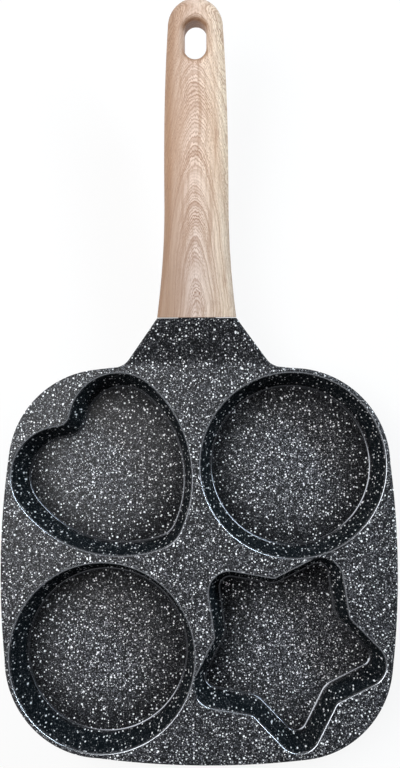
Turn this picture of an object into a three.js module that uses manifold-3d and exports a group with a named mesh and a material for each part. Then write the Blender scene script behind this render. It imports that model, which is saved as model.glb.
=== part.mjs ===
// A four-cup pancake pan. The cast body is a plate with a heart, two round cups and a star sunk in it, and
// a neck that ends in a tang. A wooden handle slides over the tang and is screwed to it from below.
// Millimetres, +Z up, with the handle along +Y.

import * as THREE from "three";
import { mergeVertices } from "three/addons/utils/BufferGeometryUtils.js";
import Module from "manifold-3d";

const wasm = await Module();
wasm.setup();

// Driving dimensions, in millimetres and degrees

// Body, seen from above
const bodyWidth = 190;

// Cups, sunk in the plate one in each quarter
const cupDepth = 22;
const cupDraft = 10;
const cupWall = 2.5;
const cupFloor = 3;
const cupWeb = 2.6;
const rimRound = 0.9;
const floorFillet = 2.2;
const baseRound = 2.5;

// The heart and the star are drawn for a round cup of this radius, and grow or shrink with it
const drawnCupRadius = 44.4;

// Heart cup, made of arcs: two lobes, two long sides, a tip and the cleft
const heartLobeRadius = 23.9;
const heartLobeSpread = 19.1;
const heartLobeRise = 10.3;
const heartSideRadius = 60.9;
const heartTipRadius = 15.6;
const heartTipDrop = 44.8;
const heartCleftRadius = 7;
const heartTurn = 43;

// Star cup, with rounded tips and valleys; the reaches are those of its sharp corners
const starTips = 5;
const starTipReach = 54.7;
const starValleyReach = 33.8;
const starTipRadius = 10.2;
const starValleyRadius = 4;
const starInset = 5.6;
const starTurn = 62.7;

// Plate, with a lip turned down along its edge
const plateMargin = 2;
const plateThickness = 3;
const sideBulge = 2.9;
const lipHeight = 7;
const lipThickness = 2.6;
const edgeRound = 1;

// Neck, a hollow wedge that rises from the plate's edge to the handle
const neckLength = 20;
const neckRise = 12;
const neckSideAngle = 38.6;
const neckSideFillet = 10;
const neckRootFillet = 6;
const neckEdgeRound = 1.8;
const neckWall = 3.2;
const neckFrontWall = 5;
const neckRib = 6;

// Handle
const handleTilt = 9;
const handleLength = 150.8;
const handleFlareLength = 55;
const handleFrontWidth = 38;
const handleWaistWidth = 30.8;
const handleEndWidth = 26.2;
const handleFrontThickness = 22;
const handleWaistThickness = 18.6;
const handleEndThickness = 15.6;
const handleFrontRound = 3;
const handleGripRound = 6;
const handleCrown = 0.9;
const handleFlarePower = 2;
const handleTaperPower = 2.5;

// Hanging slot through the handle's end
const slotLength = 17.6;
const slotWidth = 10.6;
const slotRound = 3.2;
const slotEndWall = 11.5;

// Tang inside the handle
const tangLength = 46;
const tangWidth = 18;
const tangThickness = 6;
const tangRise = 2.5;
const tangRound = 1.6;
const tangEndRoom = 0.6;

// Screws and washers that hold the handle on the tang
const screwEndDistance = 14;
const screwDiameter = 5;
const screwTipSetback = 0.5;
const screwHeadDiameter = 9;
const screwHeadHeight = 2.4;
const screwBrimHeight = 0.8;
const screwPoint = 0.8;
const screwRecessWidth = 1.2;
const screwRecessLength = 4.6;
const screwRecessDepth = 1.4;
const springWasherDiameter = 9.2;
const springWasherThickness = 1.2;
const springWasherSplit = 0.9;
const flatWasherDiameter = 10;
const flatWasherThickness = 0.9;
const screwSeatWood = 3;
const counterboreRoom = 0.5;

// Gaps between pieces that fit together
const fitGap = 0.3;
const stackGap = 0.2;

// Facets: how far a chord of an outline falls short of its arc, and how many rows other curves have
const outlineSag = 0.07;
const filletSteps = 3;
const sectionCornerSteps = 4;
const sectionFlatSteps = 4;
const neckRows = 3;
const flareRows = 6;
const gripRows = 5;
const endRows = 6;
const boltSides = 20;
const weld = 1e-4;
const cutOvershoot = 1;

// Values that follow from the driving dimensions

const draft = THREE.MathUtils.degToRad(cupDraft);
const tilt = THREE.MathUtils.degToRad(handleTilt);
const bodyHalf = bodyWidth / 2;
const roundCupRadius = (bodyHalf - cupWeb / 2 - plateMargin - sideBulge) / 2;
const cupScale = roundCupRadius / drawnCupRadius;
const cell = roundCupRadius + cupWeb / 2;
const cornerRadius = roundCupRadius + plateMargin;
const screwStations = { front: screwEndDistance, rear: tangLength - screwEndDistance };
const cupBase = -(cupDepth + cupFloor);
const quarterTurn = Math.PI / 2;

// Outlines. Each is a chain of arcs that runs counter-clockwise: an arc that bulges turns with it and one
// that dips turns against it. Growing an outline moves every arc out along its radius, so joined arcs stay
// joined, and every growth of it has the same number of points.

function outlinePoints(arcs, grow) {
  const points = [];
  for (const { x, y, radius, from, to } of arcs) {
    const dips = to < from;
    const grown = dips ? radius - grow : radius + grow;
    const curve = new THREE.EllipseCurve(x, y, grown, grown, from, to, dips);
    const chordAngle = 2 * Math.acos(1 - outlineSag / radius);
    const halfSteps = Math.ceil(Math.abs(to - from) / chordAngle / 2);
    for (const point of curve.getPoints(2 * halfSteps)) {
      if (points.length === 0 || point.distanceTo(points.at(-1)) > weld) points.push(point);
    }
  }
  if (points[0].distanceTo(points.at(-1)) <= weld) points.pop();
  return points;
}

function placeArcs(arcs, x, y, turn, scale = 1) {
  return arcs.map((arc) => {
    const centre = new THREE.Vector2(arc.x, arc.y).rotateAround(new THREE.Vector2(), turn);
    centre.multiplyScalar(scale);
    const radius = arc.radius * scale;
    return { x: x + centre.x, y: y + centre.y, radius, from: arc.from + turn, to: arc.to + turn };
  });
}

// The plate's sides are long arcs that stand proud of its corner arcs by the bulge.
const sideRadius = ((sideBulge + cornerRadius) ** 2 + cell ** 2 - cornerRadius ** 2) / (2 * sideBulge);
const sideSpan = Math.atan2(cell, cell + sideRadius - bodyHalf);

function plateArcs() {
  const arcs = [];
  for (let quarter = 0; quarter < 4; quarter += 1) {
    const side = { x: bodyHalf - sideRadius, y: 0, radius: sideRadius, from: -sideSpan, to: sideSpan };
    const cornerEnd = quarterTurn - sideSpan;
    const corner = { x: cell, y: cell, radius: cornerRadius, from: sideSpan, to: cornerEnd };
    arcs.push(...placeArcs([side, corner], 0, 0, quarter * quarterTurn));
  }
  return arcs;
}

function roundArcs() {
  return [{ x: 0, y: 0, radius: roundCupRadius, from: 0, to: 2 * Math.PI }];
}

// The centre of a circle of known radius that two smaller ones touch from inside
function enclosingCentre(small, smallRadius, other, otherRadius, radius) {
  const span = other.clone().sub(small);
  const distance = span.length();
  const near = radius - smallRadius;
  const far = radius - otherRadius;
  const along = (near ** 2 - far ** 2 + distance ** 2) / (2 * distance);
  const across = Math.sqrt(near ** 2 - along ** 2);
  const unit = span.divideScalar(distance);
  const normal = new THREE.Vector2(unit.y, -unit.x);
  return small.clone().addScaledVector(unit, along).addScaledVector(normal, across);
}

function angleTo(from, to) {
  return Math.atan2(to.y - from.y, to.x - from.x);
}

// The heart stands upright here, with its lobes' centres level with the origin.
function heartArcs() {
  const lobe = new THREE.Vector2(heartLobeSpread, 0);
  const tip = new THREE.Vector2(0, -heartTipDrop);
  const cleftReach = heartLobeRadius + heartCleftRadius;
  const cleft = new THREE.Vector2(0, Math.sqrt(cleftReach ** 2 - heartLobeSpread ** 2));
  const side = enclosingCentre(lobe, heartLobeRadius, tip, heartTipRadius, heartSideRadius);
  const tipJoin = angleTo(side, tip);
  const lobeJoin = angleTo(side, lobe);
  const cleftJoin = angleTo(lobe, cleft);
  const mirror = (angle) => Math.PI - angle;
  return [
    { x: side.x, y: side.y, radius: heartSideRadius, from: tipJoin, to: lobeJoin },
    { x: lobe.x, y: 0, radius: heartLobeRadius, from: lobeJoin, to: cleftJoin },
    { x: 0, y: cleft.y, radius: heartCleftRadius, from: cleftJoin - Math.PI, to: -cleftJoin },
    { x: -lobe.x, y: 0, radius: heartLobeRadius, from: mirror(cleftJoin), to: mirror(lobeJoin) },
    { x: -side.x, y: side.y, radius: heartSideRadius, from: mirror(lobeJoin), to: mirror(tipJoin) },
    { x: 0, y: tip.y, radius: heartTipRadius, from: mirror(tipJoin), to: tipJoin + 2 * Math.PI },
  ];
}

// The star's first tip points along +X here.
function starArcs() {
  const halfStep = Math.PI / starTips;
  const valleyX = starValleyReach * Math.cos(halfStep);
  const valleyY = starValleyReach * Math.sin(halfStep);
  const tipHalf = Math.atan2(valleyY, starTipReach - valleyX);
  const valleyHalf = halfStep + tipHalf;
  const tipCentre = starTipReach - starTipRadius / Math.sin(tipHalf);
  const valleyCentre = starValleyReach + starValleyRadius / Math.sin(valleyHalf);
  const tipSweep = quarterTurn - tipHalf;
  const valleySweep = quarterTurn - valleyHalf;
  const tip = { x: tipCentre, y: 0, radius: starTipRadius, from: -tipSweep, to: tipSweep };
  const valley = { x: -valleyCentre, y: 0, radius: starValleyRadius, from: valleySweep, to: -valleySweep };
  const arcs = [];
  for (let k = 0; k < starTips; k += 1) {
    arcs.push(...placeArcs([tip], 0, 0, 2 * k * halfStep));
    arcs.push(...placeArcs([valley], 0, 0, (2 * k + 1) * halfStep + Math.PI));
  }
  return arcs;
}

const heartAngle = THREE.MathUtils.degToRad(heartTurn);
const starAngle = THREE.MathUtils.degToRad(starTurn);
const heartX = -cell - cupScale * heartLobeRise * Math.sin(heartAngle);
const heartY = cell + cupScale * heartLobeRise * Math.cos(heartAngle);
const starShift = cupScale * starInset * Math.SQRT1_2;
const cupOutlines = [
  placeArcs(roundArcs(), cell, cell, 0),
  placeArcs(roundArcs(), -cell, -cell, 0),
  placeArcs(heartArcs(), heartX, heartY, heartAngle, cupScale),
  placeArcs(starArcs(), cell - starShift, starShift - cell, starAngle, cupScale),
];

// Solids

function solid(geometry) {
  geometry.deleteAttribute("normal");
  geometry.deleteAttribute("uv");
  const merged = mergeVertices(geometry, weld);
  const corners = merged.index.array;
  const triangles = [];
  for (let i = 0; i < corners.length; i += 3) {
    const [a, b, c] = corners.subarray(i, i + 3);
    if (a !== b && b !== c && c !== a) triangles.push(a, b, c);
  }
  const vertProperties = merged.attributes.position.array;
  const mesh = new wasm.Mesh({ numProp: 3, vertProperties, triVerts: new Uint32Array(triangles) });
  return new wasm.Manifold(mesh);
}

// A skin over rings with the same number of points, closed by a fan at each end that isn't already closed.
function loft(rings, closedEnd = false) {
  const count = rings[0].length;
  const positions = [];
  const push = (...points) => points.forEach((point) => positions.push(point.x, point.y, point.z));
  for (let row = 0; row + 1 < rings.length; row += 1) {
    for (let i = 0; i < count; i += 1) {
      const next = (i + 1) % count;
      push(rings[row][i], rings[row][next], rings[row + 1][next]);
      push(rings[row][i], rings[row + 1][next], rings[row + 1][i]);
    }
  }
  const cap = (ring, forward) => {
    const middle = ring.reduce((sum, point) => sum.add(point), new THREE.Vector3()).divideScalar(count);
    ring.forEach((point, i) => {
      const next = ring[(i + 1) % count];
      if (forward) push(middle, point, next);
      else push(middle, next, point);
    });
  };
  cap(rings[0], false);
  if (!closedEnd) cap(rings.at(-1), true);
  const geometry = new THREE.BufferGeometry();
  geometry.setAttribute("position", new THREE.Float32BufferAttribute(positions, 3));
  return geometry;
}

// Stacks an outline at several heights, each with its own growth. The levels go upwards.
function stack(arcs, levels) {
  const ring = ({ z, grow }) => outlinePoints(arcs, grow).map(({ x, y }) => new THREE.Vector3(x, y, z));
  return loft(levels.map(ring));
}

function filletLevels(grow, z, radius, from, to) {
  const curve = new THREE.EllipseCurve(grow, z, radius, radius, from, to, to < from);
  return curve.getPoints(filletSteps).map((point) => ({ grow: point.x, z: point.y }));
}

function rod(radius, from, to, x, y) {
  const geometry = new THREE.CylinderGeometry(radius, radius, to - from, boltSides);
  geometry.rotateX(quarterTurn);
  geometry.translate(x, y, (from + to) / 2);
  return solid(geometry);
}

function block(width, depth, from, to, x, y) {
  const geometry = new THREE.BoxGeometry(width, depth, to - from);
  geometry.translate(x, y, (from + to) / 2);
  return solid(geometry);
}

// Cups. Their walls lean in by the draft, counted from the rim's outline at the plate's top, where z is 0.

function wallGrow(z, thickness) {
  return z * Math.tan(draft) + thickness / Math.cos(draft);
}

function cupInside(arcs) {
  const filletZ = -cupDepth + floorFillet;
  const filletGrow = wallGrow(filletZ, -floorFillet);
  const rimGrow = wallGrow(-rimRound, rimRound);
  const floor = filletLevels(filletGrow, filletZ, floorFillet, -quarterTurn, -draft);
  const rim = filletLevels(rimGrow, -rimRound, rimRound, Math.PI - draft, quarterTurn);
  return solid(stack(arcs, [...floor, ...rim, { grow: rimGrow, z: cutOvershoot }]));
}

function cupOutside(arcs) {
  const roundZ = cupBase + baseRound;
  const base = filletLevels(wallGrow(roundZ, cupWall - baseRound), roundZ, baseRound, -quarterTurn, -draft);
  const top = -plateThickness / 2;
  return solid(stack(arcs, [...base, { grow: wallGrow(top, cupWall), z: top }]));
}

function plateShell() {
  const arcs = plateArcs();
  const edge = filletLevels(-edgeRound, -edgeRound, edgeRound, 0, quarterTurn);
  const outside = solid(stack(arcs, [{ grow: 0, z: -lipHeight }, ...edge]));
  const hollow = [
    { grow: -lipThickness, z: -lipHeight - cutOvershoot },
    { grow: -lipThickness, z: -plateThickness },
  ];
  return outside.subtract(solid(stack(arcs, hollow)));
}

// Sections across the neck, the tang and the handle: rounded rectangles whose top and bottom may be crowned

function sectionPoints(halfWidth, halfHeight, cornerRound, crown = 0) {
  const shoulder = halfHeight - crown;
  const round = Math.min(cornerRound, shoulder, halfWidth);
  const points = [];
  const signs = [[1, 1], [-1, 1], [-1, -1], [1, -1]];
  signs.forEach(([sideways, up], corner) => {
    const x = sideways * (halfWidth - round);
    const y = up * (shoulder - round);
    const from = corner * quarterTurn;
    const curve = new THREE.EllipseCurve(x, y, round, round, from, from + quarterTurn, false);
    points.push(...curve.getPoints(sectionCornerSteps));
    if (sideways !== up) return;
    for (let k = 1; k < sectionFlatSteps; k += 1) {
      const across = THREE.MathUtils.lerp(x, -x, k / sectionFlatSteps);
      points.push(new THREE.Vector2(across, up * shoulder));
    }
  });
  for (const point of points) point.y *= 1 + (crown / shoulder) * (1 - (point.x / halfWidth) ** 2);
  return points;
}

// A section's ring in a plane that leans back by an angle, about a point on the middle plane
function sectionRing(points, y, z, lean, x = 0) {
  const back = Math.sin(lean);
  const up = Math.cos(lean);
  const ring = points.map((point) => new THREE.Vector3(x + point.x, y - point.y * back, z + point.y * up));
  return ring.reverse();
}

// Neck

const neckFront = bodyHalf + neckLength;
const neckSlope = Math.atan2(neckRise, neckLength);
const neckFrontHalf = handleFrontWidth / 2;
const neckFrontBottom = neckRise - handleFrontThickness * Math.cos(tilt);
const sideAngle = THREE.MathUtils.degToRad(neckSideAngle);

// The fillet that joins a side of the neck to the plate's edge touches both from outside.
function neckFillet() {
  const outward = new THREE.Vector2(Math.cos(sideAngle), Math.sin(sideAngle));
  const down = new THREE.Vector2(Math.sin(sideAngle), -Math.cos(sideAngle));
  const edgeCentre = new THREE.Vector2(0, bodyHalf - sideRadius);
  const reach = sideRadius + neckSideFillet;
  const frontCorner = new THREE.Vector2(neckFrontHalf, neckFront);
  const start = frontCorner.addScaledVector(outward, neckSideFillet).sub(edgeCentre);
  const along = -start.dot(down) - Math.sqrt(start.dot(down) ** 2 - start.lengthSq() + reach ** 2);
  const fromEdge = start.addScaledVector(down, along);
  const centre = fromEdge.clone().add(edgeCentre);
  return {
    centre,
    sideTouch: centre.clone().addScaledVector(outward, -neckSideFillet),
    edgeTouch: fromEdge.clone().multiplyScalar(sideRadius / reach).add(edgeCentre),
  };
}

const fillet = neckFillet();

function neckHalfWidth(y) {
  if (y >= fillet.sideTouch.y) return neckFrontHalf + (neckFront - y) * Math.tan(sideAngle);
  const height = Math.max(y, fillet.edgeTouch.y) - fillet.centre.y;
  return fillet.centre.x - Math.sqrt(neckSideFillet ** 2 - height ** 2);
}

// Stations along the neck: the distance from the body's middle and the height of the neck's top there
function neckStations() {
  const tangent = neckRootFillet * Math.tan(neckSlope / 2);
  const rootFillet = new THREE.EllipseCurve(
    bodyHalf - tangent,
    neckRootFillet,
    neckRootFillet,
    neckRootFillet,
    -quarterTurn,
    neckSlope - quarterTurn,
    false,
  );
  const root = rootFillet.getPoints(filletSteps).map((point) => ({ y: point.x, top: point.y }));
  const rootEnd = root.at(-1);
  const slope = [];
  for (let k = 1; k <= neckRows; k += 1) {
    const y = THREE.MathUtils.lerp(rootEnd.y, neckFront, k / neckRows);
    const top = THREE.MathUtils.lerp(rootEnd.top, neckRise, k / neckRows);
    slope.push({ y, top });
  }
  return [{ y: bodyHalf - lipThickness, top: 0 }, ...root, ...slope];
}

function neckWedge() {
  const rings = neckStations().map(({ y, top }) => {
    const share = THREE.MathUtils.clamp((y - bodyHalf) / neckLength, 0, 1);
    const lean = share * tilt;
    const bottom = THREE.MathUtils.lerp(-lipHeight, neckFrontBottom, share);
    const half = (top - bottom) / Math.cos(lean) / 2;
    const round = THREE.MathUtils.lerp(neckEdgeRound, handleFrontRound, share);
    const points = sectionPoints(neckHalfWidth(y), half, round);
    return sectionRing(points, y + half * Math.sin(lean), (top + bottom) / 2, lean);
  });
  return solid(loft(rings));
}

// One pocket on each side of the middle rib keeps the casting's wall even under the neck.
function neckPocket(side) {
  const floor = neckFrontBottom - lipHeight;
  const end = neckFront - neckFrontWall;
  const inside = neckStations().filter(({ y }) => y > bodyHalf && y < end);
  inside.push({ y: end, top: neckRise - neckFrontWall * Math.tan(neckSlope) });
  const rings = inside.map(({ y, top }) => {
    const inner = neckRib / 2;
    const outer = neckHalfWidth(y) - neckWall;
    const half = (top - neckWall - floor) / 2;
    const points = sectionPoints((outer - inner) / 2, half, neckEdgeRound);
    return sectionRing(points, y, floor + half, 0, (side * (inner + outer)) / 2);
  });
  return solid(loft(rings));
}

// The handle's own frame has its origin in the middle of the neck's front face and +Y along the handle.
const handleFrame = new THREE.Group();
handleFrame.position.set(
  0,
  neckFront + (handleFrontThickness / 2) * Math.sin(tilt),
  neckRise - (handleFrontThickness / 2) * Math.cos(tilt),
);
handleFrame.rotation.x = tilt;
handleFrame.updateMatrix();

function tangBar(gap, from, to) {
  const points = sectionPoints(tangWidth / 2 + gap, tangThickness / 2 + gap, tangRound + gap);
  return loft([sectionRing(points, from, tangRise, 0), sectionRing(points, to, tangRise, 0)]);
}

const screwBore = screwDiameter / 2 + fitGap;

function tang() {
  let bar = solid(tangBar(0, -neckFrontWall / 2, tangLength));
  for (const y of Object.values(screwStations)) {
    bar = bar.subtract(rod(screwBore, tangRise - tangThickness, tangRise + tangThickness, 0, y));
  }
  return solid(geometryOf(bar).applyMatrix4(handleFrame.matrix));
}

function panBody() {
  let body = plateShell();
  for (const arcs of cupOutlines) body = body.add(cupOutside(arcs));
  const neck = neckWedge().subtract(neckPocket(1)).subtract(neckPocket(-1));
  body = body.add(neck).add(tang());
  for (const arcs of cupOutlines) body = body.subtract(cupInside(arcs));
  return body;
}

// Handle

const endRadius = handleEndWidth / 2;
const endCentre = handleLength - endRadius;

// A size along the handle: it falls quickly over the flare and then slowly to the end.
function taper(y, front, waist, end) {
  if (y < handleFlareLength) {
    const left = 1 - y / handleFlareLength;
    return THREE.MathUtils.lerp(waist, front, left ** handleFlarePower);
  }
  const share = (y - handleFlareLength) / (endCentre - handleFlareLength);
  return THREE.MathUtils.lerp(waist, end, share ** handleTaperPower);
}

function handleSection(y) {
  const halfWidth = taper(y, handleFrontWidth, handleWaistWidth, handleEndWidth) / 2;
  const halfThickness = taper(y, handleFrontThickness, handleWaistThickness, handleEndThickness) / 2;
  const flared = THREE.MathUtils.smoothstep(y, 0, handleFlareLength);
  const round = THREE.MathUtils.lerp(handleFrontRound, handleGripRound, flared);
  return sectionPoints(halfWidth, halfThickness, round, handleCrown * flared);
}

// The two halves of the last section swing a quarter turn in plan, until they meet, to make the round end.
function handleBlank() {
  const rings = [];
  const addRing = (from, to, share) => {
    const y = THREE.MathUtils.lerp(from, to, share);
    rings.push(sectionRing(handleSection(y), y, 0, 0));
  };
  for (let k = 0; k < flareRows; k += 1) addRing(fitGap, handleFlareLength, k / flareRows);
  for (let k = 0; k <= gripRows; k += 1) addRing(handleFlareLength, endCentre, k / gripRows);
  const last = rings.at(-1);
  for (let k = 1; k <= endRows; k += 1) {
    const swing = (k / endRows) * quarterTurn;
    const turned = ({ x, z }) => {
      const across = k === endRows ? 0 : x * Math.cos(swing);
      return new THREE.Vector3(across, endCentre + Math.abs(x) * Math.sin(swing), z);
    };
    rings.push(last.map(turned));
  }
  return solid(loft(rings, true));
}

function slotCutter() {
  const farEnd = handleLength - slotEndWall - slotWidth / 2;
  const nearEnd = farEnd - slotLength + slotWidth;
  const arcs = [
    { x: 0, y: farEnd, radius: slotWidth / 2, from: 0, to: Math.PI },
    { x: 0, y: nearEnd, radius: slotWidth / 2, from: Math.PI, to: 2 * Math.PI },
  ];
  const face = handleEndThickness / 2;
  const lower = filletLevels(slotRound, slotRound - face, slotRound, -quarterTurn, -Math.PI);
  const upper = filletLevels(slotRound, face - slotRound, slotRound, Math.PI, quarterTurn);
  const below = { grow: slotRound, z: -face - cutOvershoot };
  const above = { grow: slotRound, z: face + cutOvershoot };
  return solid(stack(arcs, [below, ...lower, ...upper, above]));
}

const mortiseFloor = tangRise - tangThickness / 2 - fitGap;
const screwSeat = mortiseFloor - screwSeatWood;

function handleGrip() {
  const mortise = solid(tangBar(fitGap, -cutOvershoot, tangLength + tangEndRoom));
  let grip = handleBlank().subtract(slotCutter()).subtract(mortise);
  const below = -handleFrontThickness;
  for (const y of Object.values(screwStations)) {
    grip = grip.subtract(rod(screwBore, below, tangRise, 0, y));
    grip = grip.subtract(rod(flatWasherDiameter / 2 + counterboreRoom, below, screwSeat, 0, y));
  }
  return grip;
}

// Screws and washers, on the line z = 0 of the handle's frame, with the heads down

const flatWasherTop = screwSeat - stackGap;
const springWasherTop = flatWasherTop - flatWasherThickness - stackGap;
const headTop = springWasherTop - springWasherThickness - stackGap;
const screwTip = tangRise + tangThickness / 2 - screwTipSetback;

function lathe(profile) {
  const geometry = new THREE.LatheGeometry(profile.map(([r, z]) => new THREE.Vector2(r, z)), boltSides);
  geometry.rotateX(quarterTurn);
  return solid(geometry);
}

function washer(diameter, top, thickness) {
  const outer = diameter / 2;
  const bottom = top - thickness;
  return lathe([[screwBore, bottom], [outer, bottom], [outer, top], [screwBore, top], [screwBore, bottom]]);
}

function springWasher() {
  const ring = washer(springWasherDiameter, springWasherTop, springWasherThickness);
  const split = block(
    springWasherSplit,
    springWasherDiameter,
    springWasherTop - springWasherThickness - cutOvershoot,
    springWasherTop + cutOvershoot,
    0,
    springWasherDiameter / 2,
  );
  return ring.subtract(split);
}

function tangScrew() {
  const shank = screwDiameter / 2;
  const head = screwHeadDiameter / 2;
  const bottom = headTop - screwHeadHeight;
  const brim = headTop - screwBrimHeight;
  const crown = new THREE.QuadraticBezierCurve(
    new THREE.Vector2(0, bottom),
    new THREE.Vector2(head, bottom),
    new THREE.Vector2(head, brim),
  );
  const dome = crown.getPoints(filletSteps + 1).map((point) => [point.x, point.y]);
  const shaft = [[head, headTop], [shank, headTop], [shank, screwTip - screwPoint]];
  const end = [[shank - screwPoint, screwTip], [0, screwTip]];
  const screw = lathe([...dome, ...shaft, ...end]);
  const below = bottom - cutOvershoot;
  const recessTop = bottom + screwRecessDepth;
  const slot = block(screwRecessWidth, screwRecessLength, below, recessTop, 0, 0);
  return screw.subtract(slot.add(block(screwRecessLength, screwRecessWidth, below, recessTop, 0, 0)));
}

// Scene graph

function geometryOf(body) {
  const { vertProperties, triVerts } = body.getMesh();
  const geometry = new THREE.BufferGeometry();
  geometry.setAttribute("position", new THREE.Float32BufferAttribute(vertProperties, 3));
  geometry.setIndex([...triVerts]);
  return geometry;
}

function piece(name, body, material) {
  const geometry = geometryOf(body);
  geometry.computeVertexNormals();
  const mesh = new THREE.Mesh(geometry, material.clone());
  mesh.name = name;
  return mesh;
}

const coating = new THREE.MeshStandardMaterial({ color: 0x33383b, roughness: 0.42, metalness: 0.1 });
const wood = new THREE.MeshStandardMaterial({ color: 0xc9a58c, roughness: 0.6, metalness: 0 });
const steel = new THREE.MeshStandardMaterial({ color: 0xb9bcbe, roughness: 0.35, metalness: 1 });

const pan = new THREE.Group();
pan.add(piece("pan_body", panBody(), coating));
handleFrame.add(piece("wood_handle", handleGrip(), wood));
for (const [place, y] of Object.entries(screwStations)) {
  const fixing = new THREE.Group();
  fixing.position.y = y;
  fixing.add(piece(`tang_screw_${place}`, tangScrew(), steel));
  fixing.add(piece(`spring_washer_${place}`, springWasher(), steel));
  const flatWasher = washer(flatWasherDiameter, flatWasherTop, flatWasherThickness);
  fixing.add(piece(`flat_washer_${place}`, flatWasher, steel));
  handleFrame.add(fixing);
}
pan.add(handleFrame);

// The origin is under the middle of the whole pan, on the surface that the cups stand on.
const box = new THREE.Box3().setFromObject(pan, true);
const middle = box.getCenter(new THREE.Vector3());
pan.position.set(-middle.x, -middle.y, -box.min.z);

export default pan;
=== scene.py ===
# %% [markdown]
# # A pancake pan with four shaped cups
# The pan is a cast plate with a heart, two round cups and a star sunk in it, and a wooden handle screwed to its
# neck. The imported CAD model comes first, because every piece made here has to sit exactly where its solid does.

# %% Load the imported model
import math

import bmesh
import bpy
from mathutils import Matrix, Vector


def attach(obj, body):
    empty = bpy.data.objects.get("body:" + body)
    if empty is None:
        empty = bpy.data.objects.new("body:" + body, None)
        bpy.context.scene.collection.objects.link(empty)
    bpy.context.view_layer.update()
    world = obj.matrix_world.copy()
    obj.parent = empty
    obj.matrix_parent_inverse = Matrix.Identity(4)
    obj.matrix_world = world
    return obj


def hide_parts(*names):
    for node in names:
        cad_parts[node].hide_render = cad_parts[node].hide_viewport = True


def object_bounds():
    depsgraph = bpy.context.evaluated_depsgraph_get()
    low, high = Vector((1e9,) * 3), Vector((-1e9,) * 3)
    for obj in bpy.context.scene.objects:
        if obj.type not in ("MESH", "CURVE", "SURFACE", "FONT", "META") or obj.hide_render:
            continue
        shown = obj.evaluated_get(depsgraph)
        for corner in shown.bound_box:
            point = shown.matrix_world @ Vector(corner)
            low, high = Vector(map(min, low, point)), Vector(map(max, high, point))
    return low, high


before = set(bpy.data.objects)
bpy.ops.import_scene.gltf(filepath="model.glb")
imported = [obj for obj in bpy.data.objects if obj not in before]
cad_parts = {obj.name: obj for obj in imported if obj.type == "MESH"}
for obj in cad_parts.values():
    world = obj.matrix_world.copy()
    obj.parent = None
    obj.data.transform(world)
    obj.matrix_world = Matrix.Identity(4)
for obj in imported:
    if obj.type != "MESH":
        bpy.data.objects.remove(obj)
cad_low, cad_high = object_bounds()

print("nodes:", ", ".join(sorted(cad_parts)))

# %% [markdown]
# ## Helpers for every piece
# A finished piece is one mesh object at the origin that rides on the only body of the model. It is made in a bmesh,
# which is Blender's editable mesh, and its faces are smooth except across real corners. The weighted normals keep
# large flat faces flat where they meet a small round edge.

# %% Pieces and finishes
MM = 0.001
SMOOTH_ANGLE = math.radians(32)
MERGE_DISTANCE = 1e-7


def in_mm(lengths):
    return [round(length / MM, 1) for length in lengths]


def mesh_object(bm, name):
    bmesh.ops.remove_doubles(bm, verts=bm.verts[:], dist=MERGE_DISTANCE)
    bmesh.ops.recalc_face_normals(bm, faces=bm.faces[:])
    mesh = bpy.data.meshes.new(name)
    bm.to_mesh(mesh)
    bm.free()
    piece = bpy.data.objects.new(name, mesh)
    bpy.context.scene.collection.objects.link(piece)
    return piece


def finish_piece(piece, material, slot, *nodes):
    mesh = piece.data
    mesh.materials.clear()
    mesh.materials.append(material)
    mesh.shade_smooth()
    mesh.set_sharp_from_angle(angle=SMOOTH_ANGLE)
    weighted = piece.modifiers.new("flat_faces_stay_flat", "WEIGHTED_NORMAL")
    weighted.keep_sharp = True
    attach(piece, "root")
    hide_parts(*nodes)
    print(piece.name, "stands for", ", ".join(nodes), "with", len(mesh.polygons), "faces")


print("box in mm:", in_mm((*cad_low, *cad_high)))


# %% Adding and cutting solids
def combine(base, tools, operation):
    for tool in tools:
        modifier = base.modifiers.new(tool.name, "BOOLEAN")
        modifier.operation = operation
        modifier.solver = "MANIFOLD"
        modifier.object = tool
    graph = bpy.context.evaluated_depsgraph_get()
    base.data = bpy.data.meshes.new_from_object(base.evaluated_get(graph))
    base.modifiers.clear()
    for tool in tools:
        bpy.data.objects.remove(tool)
    print(base.name, operation.lower(), len(tools), "solids:", len(base.data.vertices), "points")


# %% [markdown]
# ## Outlines
# Seen from above, the plate and the cups are chains of arcs that run into each other without a corner, some with a
# straight run between them. A vertex spun about an arc's centre draws the arc, and where the next arc starts
# further on, the vertex is first extruded to that place. Growing every arc by the same amount grows the outline
# evenly.

# %% Outlines from spun arcs
CHORD_SAG = 0.006 * MM
SAME_PLACE = 1e-6


def arc_start(arc, grow, height):
    centre, radius, start, sweep = arc
    reach = radius + math.copysign(grow, sweep)
    return Vector((centre[0] + reach * math.cos(start), centre[1] + reach * math.sin(start), height))


def outline_face(arcs, grow, height):
    bm = bmesh.new()
    first = tip = bm.verts.new(arc_start(arcs[0], grow, height))
    for arc in arcs:
        place = arc_start(arc, grow, height)
        if (place - tip.co).length > SAME_PLACE:
            tip = bmesh.ops.extrude_vert_indiv(bm, verts=[tip])["verts"][0]
            tip.co = place
        centre, radius, start, sweep = arc
        steps = math.ceil(abs(sweep) * math.sqrt(radius / (8 * CHORD_SAG)))
        spun = bmesh.ops.spin(
            bm, geom=[tip], cent=(*centre, height), axis=(0, 0, 1), angle=sweep, steps=max(steps, 2)
        )
        tip = next(item for item in spun["geom_last"] if isinstance(item, bmesh.types.BMVert))
    if (first.co - tip.co).length > SAME_PLACE:
        bmesh.ops.contextual_create(bm, geom=[tip, first])
    bmesh.ops.remove_doubles(bm, verts=bm.verts[:], dist=SAME_PLACE)
    bmesh.ops.contextual_create(bm, geom=bm.edges[:])
    return bm


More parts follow.
